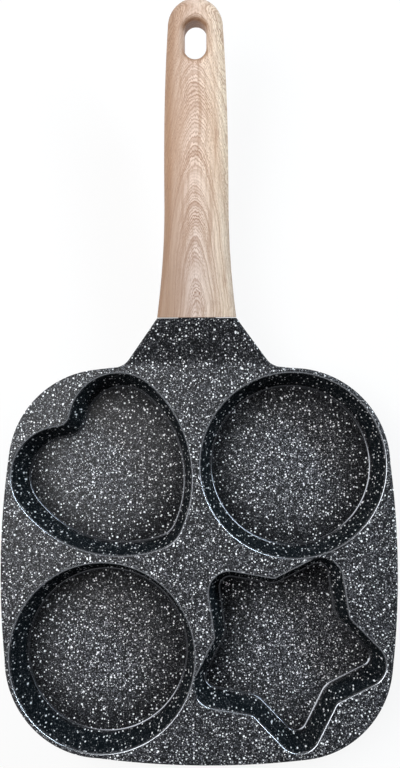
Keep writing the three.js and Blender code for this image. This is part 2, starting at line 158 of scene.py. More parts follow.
def place_arcs(arcs, centre, turn):
    turned = []
    for middle, radius, start, sweep in arcs:
        moved = Matrix.Rotation(turn, 2) @ Vector(middle) + Vector(centre)
        turned.append((moved, radius, start + turn, sweep))
    return turned


# %% [markdown]
# ## Walls that follow a profile
# A cup's wall is the same all the way round: a round rim, a slope and a round corner at the floor. Insetting a face
# by small steps, and moving it along its normal at each step, draws that profile round any outline.

# %% Walls by insets
def round_corner(grow, height, radius, start, end, steps=7):
    angles = [math.radians(start + (end - start) * k / steps) for k in range(steps + 1)]
    return [(grow + radius * math.cos(a), height + radius * math.sin(a)) for a in angles]


def sink(bm, profile):
    face = min(bm.faces, key=lambda f: f.calc_center_median().z)
    if face.normal.z > 0:
        face.normal_flip()
    for (grow, height), (next_grow, next_height) in zip(profile, profile[1:]):
        bmesh.ops.inset_region(
            bm,
            faces=[face],
            thickness=grow - next_grow,
            depth=height - next_height,
            use_boundary=True,
            use_even_offset=True,
        )


def round_off(bm, edges, radius, segments):
    bmesh.ops.bevel(
        bm, geom=edges, offset=radius, affect="EDGES", segments=segments, profile=0.5, material=-1
    )


def raise_face(bm, height):
    grown = bmesh.ops.extrude_face_region(bm, geom=bm.faces[:])
    top = [item for item in grown["geom"] if isinstance(item, bmesh.types.BMVert)]
    bmesh.ops.translate(bm, verts=top, vec=(0, 0, height))
    bmesh.ops.recalc_face_normals(bm, faces=bm.faces[:])


# %% [markdown]
# ## The body's sizes
# These are the sizes of the real pan. The plate is 190 mm across, each cup is 22 mm deep, and every wall leans ten
# degrees so that the casting, and later the pancake, comes out of its mould.

# %% Sizes of the body
cup_depth = 22 * MM
cup_floor = 3 * MM
cup_wall = 2.5 * MM
cup_web = 2.6 * MM
cup_draft = math.radians(10)
rim_round = 0.9 * MM
floor_round = 2.2 * MM
base_round = 2.5 * MM
plate_thickness = 3 * MM
plate_margin = 2 * MM
side_bulge = 2.9 * MM
edge_round = 1 * MM
lip_height = 7 * MM
lip_thickness = 2.6 * MM
overshoot = 1 * MM

plate_top = cup_depth + cup_floor
body_half = cad_high.x
body_middle = cad_low.y + body_half
round_radius = (body_half - cup_web / 2 - plate_margin - side_bulge) / 2
cell = round_radius + cup_web / 2
corner_radius = round_radius + plate_margin
print("round cups are", round(2000 * round_radius, 1), "mm wide")

# %% Outline of the plate
side_radius = ((side_bulge + corner_radius) ** 2 + cell**2 - corner_radius**2) / (2 * side_bulge)
side_span = math.atan2(cell, cell + side_radius - body_half)
side = ((body_half - side_radius, 0), side_radius, -side_span, 2 * side_span)
corner = ((cell, cell), corner_radius, side_span, math.pi / 2 - 2 * side_span)
plate_arcs = []
for quarter in range(4):
    plate_arcs += place_arcs([side, corner], (0, 0), quarter * math.pi / 2)
print("plate outline:", len(plate_arcs), "arcs")

# %% [markdown]
# The heart is six arcs: two lobes, two long sides, the tip and the cleft. Each pair of neighbours touches, so the
# long side's centre lies where its distance to a lobe and to the tip leaves exactly their radii.

# %% Outline of the heart
lobe_radius = 23.9 * MM
heart_side_radius = 60.9 * MM
tip_radius = 15.6 * MM
cleft_radius = 7 * MM
heart_turn = math.radians(43)
lobe_rise = 10.3 * MM
lobe = Vector((19.1 * MM, 0))
tip = Vector((0, -44.8 * MM))
cleft = Vector((0, math.sqrt((lobe_radius + cleft_radius) ** 2 - lobe.x**2)))


def angle_to(origin, target):
    return math.atan2(target.y - origin.y, target.x - origin.x)


lobe_reach = heart_side_radius - lobe_radius
tip_reach = heart_side_radius - tip_radius
chord = tip - lobe
along = (lobe_reach**2 - tip_reach**2 + chord.length_squared) / (2 * chord.length)
across = math.sqrt(lobe_reach**2 - along**2)
chord.normalize()
long_side = lobe + along * chord + across * Vector((chord.y, -chord.x))
tip_join = angle_to(long_side, tip)
lobe_join = angle_to(long_side, lobe)
cleft_join = angle_to(lobe, cleft)
half_heart = [
    (long_side, heart_side_radius, tip_join, lobe_join - tip_join),
    (lobe, lobe_radius, lobe_join, cleft_join - lobe_join),
]
mirrored = [
    (Vector((-centre.x, centre.y)), radius, math.pi - start - sweep, sweep)
    for centre, radius, start, sweep in reversed(half_heart)
]
cleft_arc = (cleft, cleft_radius, cleft_join - math.pi, math.pi - 2 * cleft_join)
tip_arc = (tip, tip_radius, math.pi - tip_join, math.pi + 2 * tip_join)
heart_arcs = [*half_heart, cleft_arc, *mirrored, tip_arc]
print("heart outline:", len(heart_arcs), "arcs")

# %% [markdown]
# The star has five rounded tips and five rounded valleys. One tip and one valley are drawn, and turned five times.

# %% Outline of the star
star_tips = 5
star_tip_reach = 54.7 * MM
star_valley_reach = 33.8 * MM
star_tip_radius = 10.2 * MM
star_valley_radius = 4 * MM
star_inset = 5.6 * MM
star_turn = math.radians(62.7)

half_step = math.pi / star_tips
valley_x = star_valley_reach * math.cos(half_step)
valley_y = star_valley_reach * math.sin(half_step)
tip_half = math.atan2(valley_y, star_tip_reach - valley_x)
valley_half = half_step + tip_half
tip_centre = star_tip_reach - star_tip_radius / math.sin(tip_half)
valley_centre = star_valley_reach + star_valley_radius / math.sin(valley_half)
tip_sweep = math.pi / 2 - tip_half
valley_sweep = math.pi / 2 - valley_half
star_tip = ((tip_centre, 0), star_tip_radius, -tip_sweep, 2 * tip_sweep)
star_valley = ((-valley_centre, 0), star_valley_radius, valley_sweep, -2 * valley_sweep)
star_arcs = []
for k in range(star_tips):
    star_arcs += place_arcs([star_tip], (0, 0), 2 * k * half_step)
    star_arcs += place_arcs([star_valley], (0, 0), (2 * k + 1) * half_step + math.pi)
print("star outline:", len(star_arcs), "arcs")

# %% Cups in the four quarters
round_arcs = [((0, 0), round_radius, 0, 2 * math.pi)]
heart_place = (-cell - lobe_rise * math.sin(heart_turn), cell + lobe_rise * math.cos(heart_turn))
star_shift = star_inset / math.sqrt(2)
cups = {
    "round_rear": place_arcs(round_arcs, (cell, cell), 0),
    "round_front": place_arcs(round_arcs, (-cell, -cell), 0),
    "heart": place_arcs(heart_arcs, heart_place, heart_turn),
    "star": place_arcs(star_arcs, (cell - star_shift, star_shift - cell), star_turn),
}
print("cups:", ", ".join(cups))

# %% [markdown]
# ## The cast body
# On the real pan the plate, cups and neck are one die casting. Here they are made apart and joined with booleans:
# first the plate with its turned-down lip, then the outsides of the cups, and at the end the insides are cut out.

# %% Plate with a lip
lip_foot = plate_top - lip_height
lip_soft = 0.5 * MM
hollow_top = plate_top - plate_thickness
hollow_taper = 0.05 * MM
plate_bm = outline_face(plate_arcs, 0, lip_foot)
raise_face(plate_bm, lip_height)
upper_edge = [e for e in plate_bm.edges if all(v.co.z > plate_top - SAME_PLACE for v in e.verts)]
round_off(plate_bm, upper_edge, edge_round, segments=6)
inner_lip = -lip_thickness
sink(plate_bm, [(0, lip_foot), (inner_lip, lip_foot), (inner_lip - hollow_taper, hollow_top)])
at_foot = [e for e in plate_bm.edges if all(abs(v.co.z - lip_foot) < SAME_PLACE for v in e.verts)]
lip_edges = [e for e in at_foot if e.calc_face_angle(0) > 1]
round_off(plate_bm, lip_edges, lip_soft, segments=3)
pan = mesh_object(plate_bm, "pan_casting")
print("plate is", in_mm(pan.dimensions), "mm")


# %% Profiles of a cup
def wall_grow(height, thickness):
    return height * math.tan(cup_draft) + thickness / math.cos(cup_draft)


draft_deg = math.degrees(cup_draft)
rim_grow = wall_grow(-rim_round, rim_round)
floor_height = floor_round - cup_depth
inside_profile = [
    *round_corner(rim_grow, -rim_round, rim_round, 90, 180 - draft_deg),
    *round_corner(wall_grow(floor_height, -floor_round), floor_height, floor_round, -draft_deg, -90),
]
base_height = base_round - plate_top
outside_start = -plate_thickness / 2
outside_profile = [
    (wall_grow(outside_start, cup_wall), outside_start),
    *round_corner(wall_grow(base_height, cup_wall - base_round), base_height, base_round, -draft_deg, -90),
]
print("inside profile:", len(inside_profile), "points")


# %% Insides and outsides of the cups
def cup_solid(name, arcs, profile, cap):
    start_grow, start_height = profile[0]
    bm = outline_face(arcs, start_grow, start_height)
    raise_face(bm, cap)
    sink(bm, profile)
    bmesh.ops.translate(bm, verts=bm.verts[:], vec=(0, 0, plate_top))
    return mesh_object(bm, name)


outsides = [
    cup_solid(name + "_outside", arcs, outside_profile, overshoot / 2) for name, arcs in cups.items()
]
insides = [cup_solid(name + "_inside", arcs, inside_profile, overshoot) for name, arcs in cups.items()]
combine(pan, outsides, "UNION")

# %% [markdown]
# ## The neck and the tang
# A wedge rises from the plate's edge to the handle and narrows on the way. Its cross-sections are rounded
# rectangles, so each one is a grid of one face with its four corners bevelled, and bridging the rings gives the
# wedge its skin. Two pockets below keep the wall even, as castings have, and the tang goes on into the handle.

# %% Rings across a piece
RING_SEGMENTS = 6


def section_ring(bm, width, height, corner, place):
    size = Matrix.Diagonal((width, height, 1, 1))
    corners = bmesh.ops.create_grid(bm, x_segments=1, y_segments=1, size=0.5, matrix=size)["verts"]
    rounded = bmesh.ops.bevel(
        bm, geom=corners, offset=corner, affect="VERTICES", segments=RING_SEGMENTS, profile=0.5, material=-1
    )
    ring = list(rounded["verts"])
    bmesh.ops.delete(bm, geom=ring[0].link_faces[:], context="FACES_ONLY")
    bmesh.ops.transform(bm, matrix=place @ Matrix.Rotation(math.pi / 2, 4, "X"), verts=ring)
    return ring


def bridge_rings(bm, rings, caps=(0, -1)):
    loops = [list({e for v in ring for e in v.link_edges}) for ring in rings]
    for one, other in zip(loops, loops[1:]):
        bmesh.ops.bridge_loops(bm, edges=one + other)
    for end in caps:
        bmesh.ops.contextual_create(bm, geom=loops[end])


# %% Shape of the neck
neck_length = 20 * MM
neck_rise = 12 * MM
neck_side_angle = math.radians(38.6)
neck_side_fillet = 10 * MM
neck_root_fillet = 6 * MM
neck_edge_round = 1.8 * MM
neck_steps = 8
handle_tilt = math.radians(9)
front_width = 38 * MM
front_thickness = 22 * MM
front_round = 3 * MM
neck_front = body_half + neck_length
neck_slope = math.atan2(neck_rise, neck_length)
neck_bottom = neck_rise - front_thickness * math.cos(handle_tilt)

outward = Vector((math.cos(neck_side_angle), math.sin(neck_side_angle)))
down_side = Vector((math.sin(neck_side_angle), -math.cos(neck_side_angle)))
edge_centre = Vector((0, body_half - side_radius))
fillet_reach = side_radius + neck_side_fillet
from_edge = Vector((front_width / 2, neck_front)) + neck_side_fillet * outward - edge_centre
run = from_edge.dot(down_side)
from_edge -= (run + math.sqrt(run**2 - from_edge.length_squared + fillet_reach**2)) * down_side
fillet_centre = from_edge + edge_centre
side_touch = fillet_centre.y - neck_side_fillet * outward.y
edge_touch = (from_edge * side_radius / fillet_reach + edge_centre).y


def lerp(a, b, share):
    return a + (b - a) * share


def neck_half_width(y):
    if y >= side_touch:
        return front_width / 2 + (neck_front - y) * math.tan(neck_side_angle)
    height = max(y, edge_touch) - fillet_centre.y
    return fillet_centre.x - math.sqrt(neck_side_fillet**2 - height**2)


root_tangent = neck_root_fillet * math.tan(neck_slope / 2)
neck_line = [(body_half - lip_thickness, 0.0)]
for k in range(neck_steps + 1):
    swing = neck_slope * k / neck_steps
    y = body_half - root_tangent + neck_root_fillet * math.sin(swing)
    neck_line.append((y, neck_root_fillet * (1 - math.cos(swing))))
root_y, root_top = neck_line[-1]
for k in range(1, neck_steps + 1):
    share = k / neck_steps
    neck_line.append((lerp(root_y, neck_front, share), lerp(root_top, neck_rise, share)))
print("neck stations:", len(neck_line))

# %% Neck wedge
neck_bm = bmesh.new()
neck_rings = []
for y, top in neck_line:
    share = min(max((y - body_half) / neck_length, 0), 1)
    lean = share * handle_tilt
    bottom = lerp(-lip_height, neck_bottom, share)
    height = (top - bottom) / math.cos(lean)
    place = Matrix.Translation((0, y + height / 2 * math.sin(lean), plate_top + (top + bottom) / 2))
    corner = lerp(neck_edge_round, front_round, share)
    place = place @ Matrix.Rotation(lean, 4, "X")
    neck_rings.append(section_ring(neck_bm, 2 * neck_half_width(y), height, corner, place))
bridge_rings(neck_bm, neck_rings)
neck = mesh_object(neck_bm, "neck")
print("neck is", in_mm(neck.dimensions), "mm")

# %% Pockets under the neck
neck_wall = 3.2 * MM
neck_front_wall = 5 * MM
neck_rib = 6 * MM
pocket_floor = neck_bottom - lip_height
pocket_end = neck_front - neck_front_wall
pocket_line = [(y, top) for y, top in neck_line if body_half < y < pocket_end]
pocket_line.append((pocket_end, neck_rise - neck_front_wall * math.tan(neck_slope)))
pockets = []
for hand in (-1, 1):
    pocket_bm = bmesh.new()
    rings = []
    for y, top in pocket_line:
        inner, outer = neck_rib / 2, neck_half_width(y) - neck_wall
        height = top - neck_wall - pocket_floor
        middle = plate_top + pocket_floor + height / 2
        place = Matrix.Translation((hand * (inner + outer) / 2, y, middle))
        rings.append(section_ring(pocket_bm, outer - inner, height, neck_edge_round, place))
    bridge_rings(pocket_bm, rings)
    pockets.append(mesh_object(pocket_bm, f"pocket_{hand}"))
combine(neck, pockets, "DIFFERENCE")

# %% [markdown]
# The tang is a flat bar with two screw holes. It is made in the handle's own frame, which starts in the middle of
# the neck's front face and leans up by nine degrees, and so are the handle and its screws further down.

# %% Tang in the handle's frame
half_front = front_thickness / 2
front_middle = Vector(
    (
        0,
        neck_front + half_front * math.sin(handle_tilt),
        plate_top + neck_rise - half_front * math.cos(handle_tilt),
    )
)
handle_frame = Matrix.Translation(front_middle) @ Matrix.Rotation(handle_tilt, 4, "X")
ROD_SEGMENTS = 48
tang_length = 46 * MM
tang_width = 18 * MM
tang_thickness = 6 * MM
tang_rise = 2.5 * MM
tang_round = 1.6 * MM
screw_radius = 2.5 * MM
fit_gap = 0.3 * MM
screw_end_distance = 14 * MM
screw_lines = {"front": screw_end_distance, "rear": tang_length - screw_end_distance}


def bar(name, gap, start, end):
    bm = bmesh.new()
    rings = []
    for y in (start, end):
        place = Matrix.Translation((0, y, tang_rise))
        rings.append(
            section_ring(bm, tang_width + 2 * gap, tang_thickness + 2 * gap, tang_round + gap, place)
        )
    bridge_rings(bm, rings)
    return mesh_object(bm, name)


def rod(name, radius, y, low, high):
    bm = bmesh.new()
    place = Matrix.Translation((0, y, (low + high) / 2))
    bmesh.ops.create_cone(
        bm,
        cap_ends=True,
        segments=ROD_SEGMENTS,
        radius1=radius,
        radius2=radius,
        depth=high - low,
        matrix=place,
    )
    return mesh_object(bm, name)


tang = bar("tang", 0, -neck_front_wall / 2, tang_length)
hole_radius = screw_radius + fit_gap
hole_low, hole_high = tang_rise - tang_thickness, tang_rise + tang_thickness
screw_holes = [
    rod(f"tang_hole_{place}", hole_radius, y, hole_low, hole_high) for place, y in screw_lines.items()
]
combine(tang, screw_holes, "DIFFERENCE")
tang.data.transform(handle_frame)

# %% Body in one piece
combine(pan, [neck, tang], "UNION")
combine(pan, insides, "DIFFERENCE")
pan.data.transform(Matrix.Translation((0, body_middle, 0)))
handle_frame = Matrix.Translation((0, body_middle, 0)) @ handle_frame
print("body is", in_mm(pan.dimensions), "mm")

# %% [markdown]
# ## The wooden handle
# The grip flares towards the neck, narrows to a waist and ends round. Its cross-sections are rounded rectangles
# with a slight crown, bridged like the neck's. The round end is the last half section spun half a turn about an
# upright axis.

# %% Sizes of the handle
handle_length = 150.8 * MM
flare_length = 55 * MM
waist_width = 30.8 * MM
end_width = 26.2 * MM
waist_thickness = 18.6 * MM
end_thickness = 15.6 * MM
grip_round = 6 * MM
handle_crown = 0.9 * MM
flare_power = 2
taper_power = 2.5
end_centre = handle_length - end_width / 2


def taper(y, front, waist, end):
    if y < flare_length:
        return lerp(waist, front, (1 - y / flare_length) ** flare_power)
    return lerp(waist, end, ((y - flare_length) / (end_centre - flare_length)) ** taper_power)


def flare_share(y):
    share = min(y / flare_length, 1)
    return share * share * (3 - 2 * share)


def grip_size(y):
    width = taper(y, front_width, waist_width, end_width)
    thickness = taper(y, front_thickness, waist_thickness, end_thickness)
    crown = handle_crown * flare_share(y)
    return width, thickness - 2 * crown, crown


# %% Grip with a round end
grip_stations = 44
crown_cuts = 7
end_steps = 36
front_soft = 0.35 * MM
grip_bm = bmesh.new()
grip_rings = []
for k in range(grip_stations + 1):
    y = lerp(fit_gap, end_centre, k / grip_stations)
    width, shoulder, crown = grip_size(y)
    corner = lerp(front_round, grip_round, flare_share(y))
    grip_rings.append(section_ring(grip_bm, width, shoulder, corner, Matrix.Translation((0, y, 0))))
bridge_rings(grip_bm, grip_rings, caps=(0,))
across_top = [e for e in grip_bm.edges if abs(e.verts[0].co.x - e.verts[1].co.x) > end_width / 4]
bmesh.ops.subdivide_edges(grip_bm, edges=across_top, cuts=crown_cuts, use_grid_fill=True)
for v in grip_bm.verts:
    width, shoulder, crown = grip_size(v.co.y)
    v.co.z *= 1 + 2 * crown / shoulder * (1 - (2 * v.co.x / width) ** 2)
last_section = [e for e in grip_bm.edges if all(v.co.y > end_centre - SAME_PLACE for v in e.verts)]
half_section = [e for e in last_section if all(v.co.x > -SAME_PLACE for v in e.verts)]
bmesh.ops.spin(
    grip_bm,
    geom=half_section,
    cent=(0, end_centre, 0),
    axis=(0, 0, 1),
    angle=math.pi,
    steps=end_steps,
)
bmesh.ops.remove_doubles(grip_bm, verts=grip_bm.verts[:], dist=SAME_PLACE)
front_edge = [e for e in grip_bm.edges if all(v.co.y < fit_gap + SAME_PLACE for v in e.verts)]
round_off(grip_bm, front_edge, front_soft, segments=2)
grip = mesh_object(grip_bm, "handle_wood")
print("grip is", in_mm(grip.dimensions), "mm")

# %% [markdown]
# The hanging slot is a stadium with wide rounded lips, so the cutter swells towards both faces. One half of it is
# sunk from the upper face to the middle, and a mirror makes the other half.

# %% Hanging slot
slot_length = 17.6 * MM
slot_width = 10.6 * MM
slot_round = 3.2 * MM
slot_end_wall = 11.5 * MM
slot_far = handle_length - slot_end_wall - slot_width / 2
slot_near = slot_far - slot_length + slot_width
slot_arcs = [
    ((0, slot_far), slot_width / 2, 0, math.pi),
    ((0, slot_near), slot_width / 2, math.pi, math.pi),
]
slot_face = end_thickness / 2
slot_bm = outline_face(slot_arcs, slot_round, slot_face)
raise_face(slot_bm, overshoot)
slot_taper = 0.02 * MM
slot_lip = round_corner(slot_round, slot_face - slot_round, slot_round, 90, 180, steps=10)
sink(slot_bm, [*slot_lip, (-slot_taper, 0)])
middle_face = min(slot_bm.faces, key=lambda f: f.calc_center_median().z)
bmesh.ops.delete(slot_bm, geom=[middle_face], context="FACES_ONLY")
whole_half = slot_bm.verts[:] + slot_bm.edges[:] + slot_bm.faces[:]
bmesh.ops.mirror(slot_bm, geom=whole_half, axis="Z", merge_dist=SAME_PLACE)
slot_cutter = mesh_object(slot_bm, "slot_cutter")
print("slot cutter is", in_mm(slot_cutter.dimensions), "mm")

# %% Mortise and screw holes
tang_end_room = 0.6 * MM
washer_radius = 5 * MM
counterbore_room = 0.5 * MM
seat_wood = 3 * MM
mortise_floor = tang_rise - tang_thickness / 2 - fit_gap
screw_seat = mortise_floor - seat_wood
grip_cuts = [slot_cutter, bar("mortise", fit_gap, -overshoot, tang_length + tang_end_room)]
counterbore_radius = washer_radius + counterbore_room
for place, y in screw_lines.items():
    grip_cuts.append(rod(f"screw_hole_{place}", hole_radius, y, -front_thickness, tang_rise))
    grip_cuts.append(rod(f"counterbore_{place}", counterbore_radius, y, -front_thickness, screw_seat))
combine(grip, grip_cuts, "DIFFERENCE")
grip.data.transform(handle_frame)

# %% [markdown]
# ## Screws and washers
# Two pan-head screws hold the handle from below, each through a split washer and a flat one. They are turned
# parts, so half a cross-section is drawn with a few vertices and spun once round the axis.

# %% Turned parts
spring_radius = 4.6 * MM
spring_thickness = 1.2 * MM
spring_split = 0.9 * MM
flat_thickness = 0.9 * MM
stack_gap = 0.2 * MM
head_radius = 4.5 * MM
head_height = 2.4 * MM
brim_height = 0.8 * MM
screw_point = 0.8 * MM
screw_tip_setback = 0.5 * MM
recess_depth = 1.4 * MM
recess_width = 1.2 * MM
recess_length = 4.6 * MM
screw_soft = 0.08 * MM
washer_soft = 0.1 * MM
flat_top = screw_seat - stack_gap
spring_top = flat_top - flat_thickness - stack_gap
head_top = spring_top - spring_thickness - stack_gap
screw_tip = tang_rise + tang_thickness / 2 - screw_tip_setback
DOME_STEPS = 12
TURN_STEPS = 64
EDGE_ANGLE = math.radians(50)


def turned(name, profile, closed):
    bm = bmesh.new()
    points = [bm.verts.new((radius, 0, height)) for radius, height in profile]
    line = [bm.edges.new(pair) for pair in zip(points, points[1:])]
    if closed:
        line.append(bm.edges.new((points[-1], points[0])))
    bmesh.ops.spin(
        bm,
        geom=points + line,
        cent=(0, 0, 0),
        axis=(0, 0, 1),
        angle=2 * math.pi,
        steps=TURN_STEPS,
        use_merge=True,
    )
    return mesh_object(bm, name)


def soft_edges(piece, width):
    bm = bmesh.new()
    bm.from_mesh(piece.data)
    sharp = [e for e in bm.edges if e.calc_face_angle(0) > EDGE_ANGLE]
    round_off(bm, sharp, width, segments=2)
    bm.to_mesh(piece.data)
    bm.free()


def washer(name, outer, top, thickness):
    bottom = top - thickness
    ring = [(hole_radius, bottom), (outer, bottom), (outer, top), (hole_radius, top)]
    return turned(name, ring, True)


def block(name, width, depth, low, high, y=0.0):
    bm = bmesh.new()
    size = Matrix.Diagonal((width, depth, high - low, 1))
    bmesh.ops.create_cube(bm, size=1, matrix=Matrix.Translation((0, y, (low + high) / 2)) @ size)
    return mesh_object(bm, name)


# %% Screw and washers
def screw(name):
    bottom = head_top - head_height
    dome = []
    for k in range(DOME_STEPS + 1):
        t = k / DOME_STEPS
        dome.append((head_radius * (1 - (1 - t) ** 2), lerp(bottom, head_top - brim_height, t * t)))
    shank = [(head_radius, head_top), (screw_radius, head_top), (screw_radius, screw_tip - screw_point)]
    end = [(screw_radius - screw_point, screw_tip), (0, screw_tip)]
    piece = turned(name, [*dome, *shank, *end], False)
    low, high = bottom - overshoot, bottom + recess_depth
    for width, depth in ((recess_width, recess_length), (recess_length, recess_width)):
        combine(piece, [block(name + "_recess", width, depth, low, high)], "DIFFERENCE")
    soft_edges(piece, screw_soft)
    return piece


def split_washer(name):
    piece = washer(name, spring_radius, spring_top, spring_thickness)
    low, high = spring_top - spring_thickness - overshoot, spring_top + overshoot
    cutter = block(name + "_split", spring_split, 2 * spring_radius, low, high, spring_radius)
    combine(piece, [cutter], "DIFFERENCE")
    soft_edges(piece, washer_soft)
    return piece


def flat_washer(name):
    piece = washer(name, washer_radius, flat_top, flat_thickness)
    soft_edges(piece, washer_soft)
    return piece


kinds = {"tang_screw": screw, "spring_washer": split_washer, "flat_washer": flat_washer}
fasteners = {}
for place, y in screw_lines.items():
    seat = handle_frame @ Matrix.Translation((0, y, 0))
    for kind, make in kinds.items():
        piece = make(f"{kind}_{place}_steel")
        piece.data.transform(seat)
        fasteners[f"{kind}_{place}"] = piece
print("fasteners:", ", ".join(fasteners))

# %% [markdown]
# ## Finishes
# All finishes are node materials on Object coordinates, which are metres in the pan's own frame, so a pattern has
# its real size. A helper adds a node and sets or links its sockets in one line.

# %% Node helper
class Finish:
    def __init__(self, name):
        self.material = bpy.data.materials.new(name)
        self.material.use_nodes = True
        self.tree = self.material.node_tree
        self.tree.nodes.clear()
        self.shader = self.add("ShaderNodeBsdfPrincipled")
        self.output = self.add("ShaderNodeOutputMaterial", Surface=self.shader.outputs["BSDF"])
        self.place = self.add("ShaderNodeTexCoord").outputs["Object"]

    def add(self, kind, settings=None, **sockets):
        node = self.tree.nodes.new(kind)
        for name, value in (settings or {}).items():
            setattr(node, name, value)
        self.feed(node, **sockets)
        return node

    def feed(self, node, **sockets):
        for name, value in sockets.items():
            key = int(name[1:]) if name[1:].isdigit() else name.replace("_", " ")
            if isinstance(value, bpy.types.NodeSocket):
                self.tree.links.new(value, node.inputs[key])
            else:
                node.inputs[key].default_value = value

    def math(self, operation, a, b=0.0, c=0.0):
        node = self.add("ShaderNodeMath", {"operation": operation}, i0=a, i1=b, i2=c)
        return node.outputs[0]

    def span(self, value, low, high, to_low=0.0, to_high=1.0, kind="LINEAR"):
        node = self.add(
            "ShaderNodeMapRange",
            {"interpolation_type": kind},
            Value=value,
            From_Min=low,
            From_Max=high,
            To_Min=to_low,
            To_Max=to_high,
        )
        return node.outputs["Result"]

    def mix(self, share, a, b, blend="MIX"):
        settings = {"data_type": "RGBA", "blend_type": blend}
        return self.add("ShaderNodeMix", settings, Factor=share, i6=a, i7=b).outputs[2]

    def noise(self, scale, detail, where, roughness=0.5):
        return self.add(
            "ShaderNodeTexNoise", Vector=where, Scale=scale, Detail=detail, Roughness=roughness
        )

    def vector(self, operation, a, b=(0, 0, 0)):
        return self.add("ShaderNodeVectorMath", {"operation": operation}, i0=a, i1=b)

    def moved(self, where, shift):
        return self.vector("ADD", where, shift).outputs[0]

    def bend(self, where, scale, detail, amount, source):
        push = self.noise(scale, detail, source).outputs["Color"]
        centred = self.vector("SUBTRACT", push, (0.5, 0.5, 0.5)).outputs[0]
        shift = self.vector("SCALE", centred)
        self.feed(shift, Scale=amount)
        return self.moved(where, shift.outputs[0])


print("finish helper ready")

# %% [markdown]
# ## The stone-look coating
# The coating's colour holds painted light: a painted glow in the middle of each cup's floor that fades into painted
# shade towards the walls, painted shade on the steep walls and on the neck, and a lesser glow on the plate. Folding
# the plate about its two middle lines lays all four cups on one, and then one distance tells how far a place is from
# the middle of its cup.

# %% Painted glow and shade on the coating
# Levels of painted light: glow in a floor's middle, painted shade at its edge, on the walls and on the neck.
middle_glow, corner_shade, wall_shade = 1.0, 0.2, 0.17
plate_glow, neck_shade = 0.7, 0.4
full_glow_reach, shade_reach = 10 * MM, 42 * MM
fade_near, fade_far = 0.5 * MM, 3 * MM

stone = Finish("stone_coating")
from_middle = stone.moved(stone.place, (0, -body_middle, 0))
folded = stone.vector("ABSOLUTE", from_middle).outputs[0]
level = stone.add("ShaderNodeSeparateXYZ", Vector=folded)
height = level.outputs["Z"]
flat = stone.add("ShaderNodeCombineXYZ", X=level.outputs["X"], Y=level.outputs["Y"]).outputs[0]
reach = stone.vector("DISTANCE", flat, (cell, cell, 0)).outputs["Value"]
floor_glow = stone.span(reach, full_glow_reach, shade_reach, middle_glow, corner_shade, "SMOOTHSTEP")
on_wall = stone.span(height, cup_floor + fade_near, cup_floor + fade_far, kind="SMOOTHSTEP")
on_plate = stone.span(height, plate_top - fade_far, plate_top - fade_near, kind="SMOOTHSTEP")
plate_and_neck_glow = stone.span(
    level.outputs["Y"], body_half - edge_round, body_half + fade_far, plate_glow, neck_shade
)
cup_glow = stone.add("ShaderNodeMix", Factor=on_wall, A=floor_glow, B=wall_shade).outputs["Result"]
painted_glow = stone.add("ShaderNodeMix", Factor=on_plate, A=cup_glow, B=plate_and_neck_glow).outputs["Result"]
print("spray:", len(stone.tree.nodes), "nodes")

# %% [markdown]
# A droplet that falls on a steep wall is drawn out downwards, so its fleck still looks round from above. An
# attribute marks the faces that look up and into their cup, and there the pattern's height is squeezed, which
# stretches it.

# %% Inner side of the cups
inner_side = pan.data.attributes.new("inner_side", "FLOAT", "FACE")
for face, mark in zip(pan.data.polygons, inner_side.data):
    across, along, rise = face.normal
    x, y = face.center.x, face.center.y - body_middle
    to_cup_x, to_cup_y = math.copysign(cell, x) - x, math.copysign(cell, y) - y
    mark.value = float(rise > 0 and across * to_cup_x + along * to_cup_y > 0)
looks_in = stone.add("ShaderNodeAttribute", {"attribute_name": "inner_side"}).outputs["Fac"]
print("faces that look into a cup:", sum(mark.value > 0 for mark in inner_side.data))

# %% Pattern drawn out on the walls
drawn_out = 0.65
ragged_scale = 2200
ragged_reach = 0.35 * MM
above_floor = stone.math("SUBTRACT", height, cup_floor)
drop = stone.math("MULTIPLY", above_floor, stone.math("MULTIPLY", looks_in, -drawn_out))
fallen = stone.moved(stone.place, stone.add("ShaderNodeCombineXYZ", Z=drop).outputs[0])
warped = stone.bend(fallen, ragged_scale, 1.0, ragged_reach, fallen)
print("wall pattern stretched", round(1 / (1 - drawn_out), 1), "times")

# %% [markdown]
# The lacquer is charcoal with pale flecks in it: fine dust, specks of a millimetre and a few larger spots. Each
# layer is a Voronoi texture, whose cells hold one fleck at most. The distance to the cell's point, compared with a
# random radius, draws the fleck, and the bend by fine noise makes it ragged instead of round.


# %% Flecks
bright_glow = 0.5
wall_share = 0.9
soft_edge = 0.8
least_radius = 0.001
# Fewer flecks where the painted shade on the walls is darkest.
kept = stone.span(painted_glow, wall_shade, bright_glow, wall_share, 1.0)


def flecks(cell_size, small, large, share, dimmest, seed):
    where = stone.moved(warped, (seed, 2 * seed, 3 * seed))
    cells = stone.add("ShaderNodeTexVoronoi", Vector=where, Scale=1 / cell_size)
    dice = stone.add("ShaderNodeSeparateColor", Color=cells.outputs["Color"])
    limit = stone.math("MULTIPLY_ADD", kept, -share, 1.0)
    radius = stone.span(dice.outputs[0], limit, 1.0, small, large)
    radius = stone.math("MULTIPLY", radius, stone.math("GREATER_THAN", dice.outputs[0], limit))
    radius = stone.math("MAXIMUM", radius, least_radius)
    shape = stone.span(stone.math("DIVIDE", cells.outputs["Distance"], radius), 1.0, soft_edge)
    pale = stone.span(dice.outputs[1], 0.0, 1.0, dimmest, 1.0)
    return stone.math("MULTIPLY", shape, pale)


dust = flecks(0.75 * MM, small=0.27, large=0.45, share=0.38, dimmest=0.4, seed=0.0)
# The dust dims with the painted shade and brightens with the painted glow.
dust = stone.math("MULTIPLY", dust, painted_glow)
specks = flecks(1.55 * MM, small=0.175, large=0.305, share=0.72, dimmest=1.0, seed=0.31)
spots = flecks(3.3 * MM, small=0.12, large=0.19, share=0.65, dimmest=1.0, seed=0.77)
landed = stone.math("MAXIMUM", dust, stone.math("MAXIMUM", specks, spots))
print("flecks:", len(stone.tree.nodes), "nodes so far")

